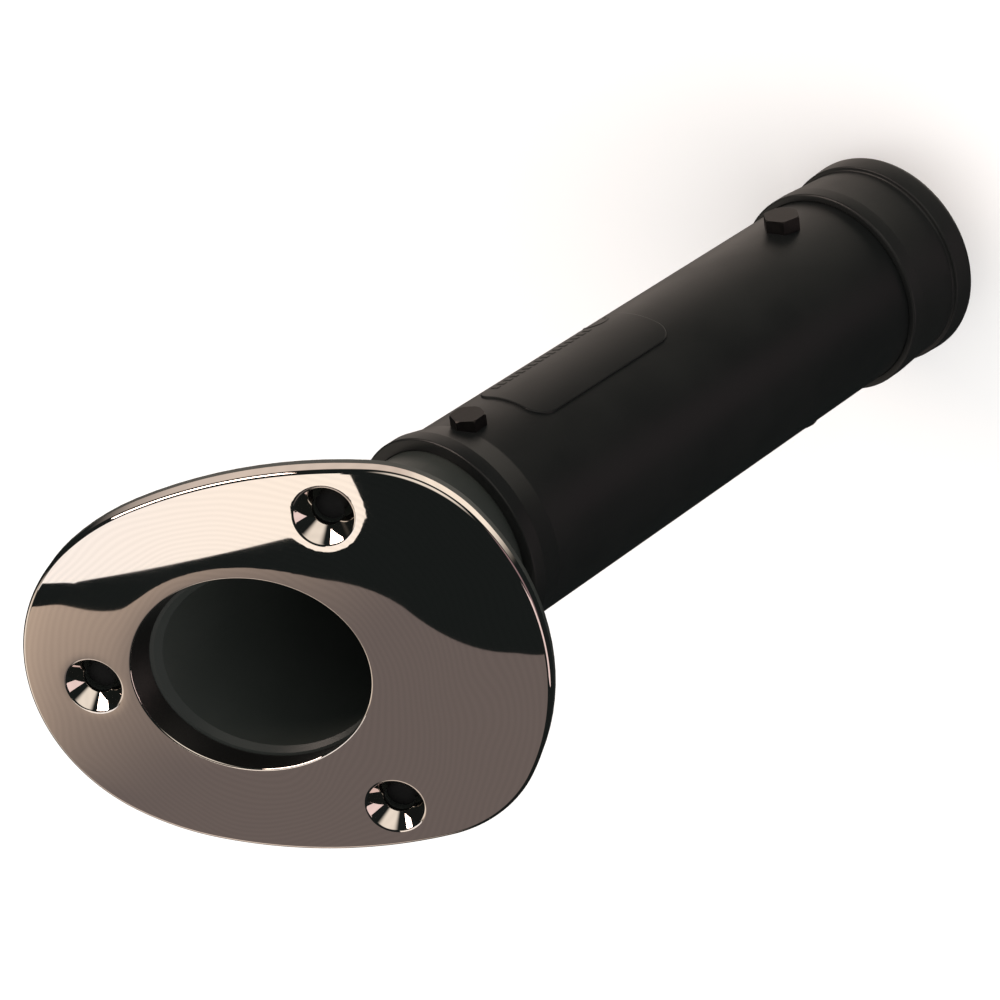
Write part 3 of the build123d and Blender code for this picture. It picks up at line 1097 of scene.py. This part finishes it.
@dataclass
class Studio:
    """Pale floor, soft light, the cards that the polished face mirrors, and the camera."""

    floor_z: float = -0.2018
    camera_at: tuple[float, float, float] = (0.2220, 0.2884, 0.5517)
    camera_right: tuple[float, float, float] = (0.9597, -0.1972, -0.2003)
    camera_up: tuple[float, float, float] = (0.0905, 0.8914, -0.4442)
    lens: float = 114.68
    ambient: float = 1.12
    dark: str = "#1B1F1F"
    glows: tuple[Glow, ...] = (
        Glow((-0.12, 0.36, -0.92), 15.0, 37.0, "#F6E6DA", 0.85),
        Glow((0.42, 0.26, -0.87), 12.0, 25.0, "#FFF4E6", 1.15),
        Glow((0.97, -0.02, -0.17), 6.0, 20.0, "#E8C4CA", 0.42),
        Glow((0.50, 0.75, 0.45), 14.0, 34.0, "#FFF6EA", 1.0),
        Glow((-0.50, -0.82, 0.26), 10.0, 26.0, "#F6E6DA", 0.9),
        Glow((-0.90, -0.30, 0.30), 10.0, 26.0, "#FFF1E2", 1.0),
    )
    cards: tuple[Card, ...] = (
        Card(
            "cream_card",
            ((-1.75, -0.36), (-0.96, -0.60), (-0.335, -0.462), (-0.24, 0.60), (-1.75, 0.60)),
            1.5,
            "#FAF5F2",
            "#FDF3E8",
            1.26,
            (-1.1, 0.0),
            (-0.3, 0.0),
            0,
        ),
        Card(
            "grey_card",
            (
                (-1.75, -0.56),
                (-1.05, -0.65),
                (-0.88, -0.67),
                (-0.71, -0.58),
                (-0.37, -0.57),
                (-0.24, -0.745),
                (-0.09, -0.78),
                (0.30, -0.78),
                (0.30, -1.70),
                (-1.75, -1.70),
            ),
            1.5,
            "#C6B3A3",
            "#716866",
            1.0,
            (-1.20, -0.62),
            (-0.86, -1.08),
            3,
        ),
    )

    def world(self) -> None:
        """An even ambient to the camera and to diffuse surfaces, a dim room with glows to glossy ones."""
        world = bpy.data.worlds.new("studio_room")
        world.use_nodes = True
        bpy.context.scene.world = world
        tree = world.node_tree
        tree.nodes.clear()
        way = add(tree, "ShaderNodeTexCoord").outputs["Generated"]
        total = linear(self.dark)
        for glow in self.glows:
            aim = add(
                tree,
                "ShaderNodeVectorMath",
                {0: way, 1: tuple(unit(np.array(glow.direction)))},
                operation="DOT_PRODUCT",
            )
            share = add(
                tree,
                "ShaderNodeMapRange",
                {
                    "Value": aim.outputs["Value"],
                    "From Min": math.cos(math.radians(glow.outer_deg)),
                    "From Max": math.cos(math.radians(glow.inner_deg)),
                },
                interpolation_type="SMOOTHSTEP",
            )
            colour = tuple(c * glow.strength for c in linear(glow.colour)[:3]) + (1.0,)
            total = blend(tree, share.outputs[0], total, colour)
        dim = add(tree, "ShaderNodeBackground", {"Color": total, "Strength": 1.0})
        even = add(tree, "ShaderNodeBackground", {"Color": linear("#FFFFFF"), "Strength": self.ambient})
        path = add(tree, "ShaderNodeLightPath")
        room = add(
            tree,
            "ShaderNodeMixShader",
            {0: path.outputs["Is Glossy Ray"], 1: even.outputs[0], 2: dim.outputs[0]},
        )
        add(tree, "ShaderNodeOutputWorld", {"Surface": room.outputs[0]})

    def floor(self) -> bpy.types.Object:
        """Plain pale floor under the tube's end, left out of reflections."""
        half = 3.0
        points = np.array([(-half, -half), (half, -half), (half, half), (-half, half)]) / MM
        z = np.full((4, 1), self.floor_z / MM)
        mesh = mesh_from("studio_floor", np.hstack([points, z]), [np.array([[0, 1, 2, 3]])], [0])
        made = bpy.data.objects.new("studio_floor", mesh)
        bpy.context.scene.collection.objects.link(made)
        paper, tree, place = started("seamless_paper_matt")
        pulp = noise(tree, place, 1000 / 3, 2.0).outputs["Fac"]
        tone = blend(tree, pulp, linear("#F7F6F4"), linear("#FCFBFA"))
        matt = add(tree, "ShaderNodeBsdfDiffuse", {"Color": tone, "Roughness": 0.0})
        add(tree, "ShaderNodeOutputMaterial", {"Surface": matt.outputs[0]})
        mesh.materials.append(paper)
        made.visible_glossy = False
        return made

    def card(self, spec: Card) -> bpy.types.Object:
        """Build one card, with its corners cut round, glowing from its near colour to its far one.

        Each pass of rounding replaces every corner by points a quarter and three quarters along its sides.
        """
        loop = np.array(spec.corners)
        for _ in range(spec.soften):
            ahead = np.roll(loop, -1, axis=0)
            loop = np.stack([0.75 * loop + 0.25 * ahead, 0.25 * loop + 0.75 * ahead], axis=1).reshape(-1, 2)
        points = np.column_stack([loop, np.full(len(loop), spec.height)]) / MM
        mesh = mesh_from(spec.name, points, [np.arange(len(loop))[None, ::-1]], [0])
        made = bpy.data.objects.new(spec.name, mesh)
        bpy.context.scene.collection.objects.link(made)
        lamp, tree, place = started(spec.name)
        start, stop = np.array([*spec.fade_from, 0.0]), np.array([*spec.fade_to, 0.0])
        run = stop - start
        offset = add(tree, "ShaderNodeVectorMath", {0: place, 1: tuple(start)}, operation="SUBTRACT")
        along = add(
            tree,
            "ShaderNodeVectorMath",
            {0: offset.outputs[0], 1: tuple(run / (run @ run))},
            operation="DOT_PRODUCT",
        )
        way = {"Value": along.outputs["Value"]}
        share = add(tree, "ShaderNodeMapRange", way, interpolation_type="SMOOTHSTEP")
        tone = blend(tree, share.outputs[0], linear(spec.near), linear(spec.far))
        glow = add(tree, "ShaderNodeEmission", {"Color": tone, "Strength": spec.strength})
        add(tree, "ShaderNodeOutputMaterial", {"Surface": glow.outputs[0]})
        mesh.materials.append(lamp)
        made.visible_camera = False
        made.visible_diffuse = False
        made.visible_shadow = False
        return made

    @staticmethod
    def softbox(
        name: str,
        at: tuple[float, float, float],
        aim: tuple[float, float, float],
        size: tuple[float, float],
        watts: float,
        colour: str,
    ) -> bpy.types.Object:
        """Rectangular soft light at a place, aimed at a point.

        Args:
            name: name of the light.
            at: its centre in metres.
            aim: the point that it faces.
            size: width and height in metres.
            watts: its power.
            colour: its tint as sRGB hex.

        Returns:
            The light's object.
        """
        data = bpy.data.lights.new(name, "AREA")
        data.shape = "RECTANGLE"
        data.size, data.size_y = size
        data.energy = watts
        data.color = linear(colour)[:3]
        made = bpy.data.objects.new(name, data)
        bpy.context.scene.collection.objects.link(made)
        made.location = at
        made.rotation_mode = "QUATERNION"
        made.rotation_quaternion = (Vector(aim) - Vector(at)).to_track_quat("-Z", "Y")
        return made

    def lights(self) -> None:
        """Key softbox low on the +Y side, and a weak fill from the open side."""
        holder = (0.03, 0.0, -0.08)
        tube = (0.05, 0.0, -0.08)
        self.softbox("key_softbox", (-0.75, 1.15, 0.25), holder, (0.9, 0.5), 13.0, "#FFE9DD")
        self.softbox("fill_softbox", (1.3, -0.6, 0.5), tube, (0.8, 0.8), 2.0, "#FFE6E4")

    def camera(self) -> bpy.types.Object:
        """Camera on the open side, above the flange, looking down on it and along the tube."""
        data = bpy.data.cameras.new("studio_camera")
        data.lens = self.lens
        data.sensor_width = 36.0
        data.clip_start, data.clip_end = 0.01, 20.0
        made = bpy.data.objects.new("studio_camera", data)
        bpy.context.scene.collection.objects.link(made)
        right, up = Vector(self.camera_right).normalized(), Vector(self.camera_up)
        back = right.cross(up).normalized()
        up = back.cross(right)
        turn = Matrix((right, up, back)).transposed().to_4x4()
        made.matrix_world = Matrix.Translation(self.camera_at) @ turn
        bpy.context.scene.camera = made
        return made

    def build(self) -> None:
        """Set up the whole studio."""
        self.world()
        self.floor()
        for spec in self.cards:
            self.card(spec)
        self.lights()
        self.camera()
        bpy.context.scene.view_settings.view_transform = "Standard"


# ---- whole holder ---------------------------------------------------------------------------------


def main() -> None:
    """Build and dress every piece in order, then set up the studio."""
    logging.basicConfig(level=logging.INFO, format="%(name)s %(message)s")
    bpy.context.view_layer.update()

    polished = PolishedStainless().material()
    cast = CastStainless().material()
    # The body's nylon is given a lighter tone than the other black nylon parts: painted light that lifts the
    # shaded inside of the mouth, and the neck with it.
    body = MouldedNylon("nylon_black_body_lightened_painted_light", deep="#262A27", pale="#2F322F").material()
    barrel_finish = MouldedNylon("nylon_black_barrel", deep="#0D0F0F", pale="#131514", roughness=0.4)
    barrel_skin = barrel_finish.material()
    cap_skin = MouldedNylon("nylon_black_end_cap", roughness=0.44).material()
    neoprene = NeopreneSheet().material()
    hardware = BlackenedSteel().material()

    shape = Flange()
    flange = piece("flange_shell", shape.build(), [polished, cast])
    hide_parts("flange_cap")
    # The sheet has no screw holes, so it closes the holes from below as painted shade.
    gasket = piece("gasket_sheet", Gasket().build(shape), [neoprene])
    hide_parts("deck_gasket")

    barrel = Barrel()
    shell = piece("barrel_shell", barrel.shell(), [barrel_skin])
    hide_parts("outer_barrel")
    piece("barrel_panel", barrel.panel(), [barrel_skin])

    end_cap = piece("end_cap_shell", EndCap().build(), [cap_skin])
    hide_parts("end_cap")

    dress("holder_body", body)
    dress("seal_ring", neoprene)
    dress("neck_screws", hardware)
    dress("gimbal_bolt", hardware)
    dress("gimbal_nut", hardware)

    Studio().build()


if __name__ == "__main__":
    main()
